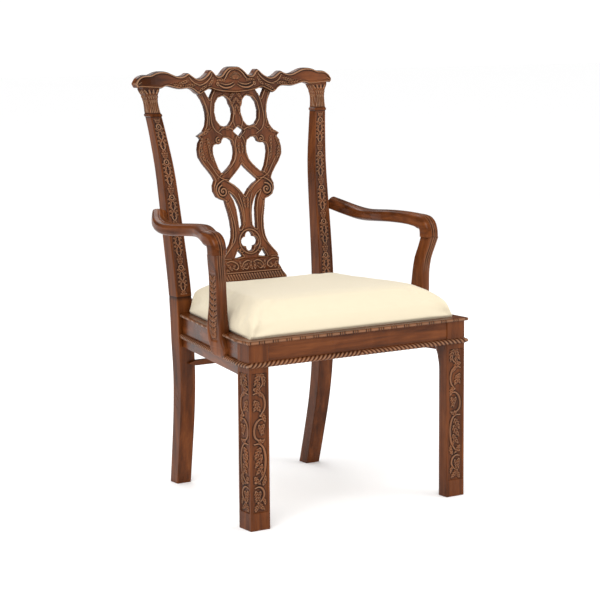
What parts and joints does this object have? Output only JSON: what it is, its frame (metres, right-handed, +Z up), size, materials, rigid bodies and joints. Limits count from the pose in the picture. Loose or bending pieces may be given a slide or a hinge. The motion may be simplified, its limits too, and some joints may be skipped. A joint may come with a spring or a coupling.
{
  "type": "armchair",
  "caption": "Carved wooden armchair with a pierced splat, scrolled arms, square carved front legs, swept rear legs and a padded lift-out seat.",
  "frame": {"origin": "on the floor, at the centre of the chair's width and depth", "axes": "+Z up; the chair faces -Y; +X is the viewer's right when looking along +Y"},
  "size_m": [0.6434, 0.5757, 1.02],
  "materials": {
    "mahogany": "satin",
    "inner_wood": "matte",
    "steel": "satin",
    "webbing": "matte",
    "hessian": "matte",
    "pad": "matte",
    "cover": "matte"
  },
  "bodies": {
    "frame": {"rear_post_left": "mahogany", "rear_post_right": "mahogany", "front_leg_left": "mahogany", "front_leg_right": "mahogany", "front_rail": "mahogany", "side_rail_left": "mahogany", "side_rail_right": "mahogany", "back_rail": "mahogany", "rear_stay": "mahogany", "crest_rail": "mahogany", "splat": "mahogany", "splat_shoe": "mahogany", "arm_left": "mahogany", "arm_right": "mahogany", "arm_support_left": "mahogany", "arm_support_right": "mahogany", "lip_front": "mahogany", "lip_left": "mahogany", "lip_right": "mahogany", "rope_front": "mahogany", "rope_left": "mahogany", "rope_right": "mahogany", "corner_block_front_left": "inner_wood", "corner_block_front_right": "inner_wood", "corner_block_rear_left": "inner_wood", "corner_block_rear_right": "inner_wood", "corner_block_screws": "steel", "arm_screws": "steel", "support_screws": "steel", "arm_dowels": "inner_wood"},
    "seat": {"seat_frame_front": "inner_wood", "seat_frame_back": "inner_wood", "seat_frame_left": "inner_wood", "seat_frame_right": "inner_wood", "webbing_across": "webbing", "webbing_lengthwise": "webbing", "hessian": "hessian", "seat_pad": "pad", "seat_cover": "cover", "webbing_tacks": "steel", "cover_tacks": "steel"}
  },
  "joints": [
    {"name": "seat_lift", "type": "slide", "parent": "frame", "child": "seat", "axis": [0, 0, 1], "range_m": [0, 0.12]}
  ]
}
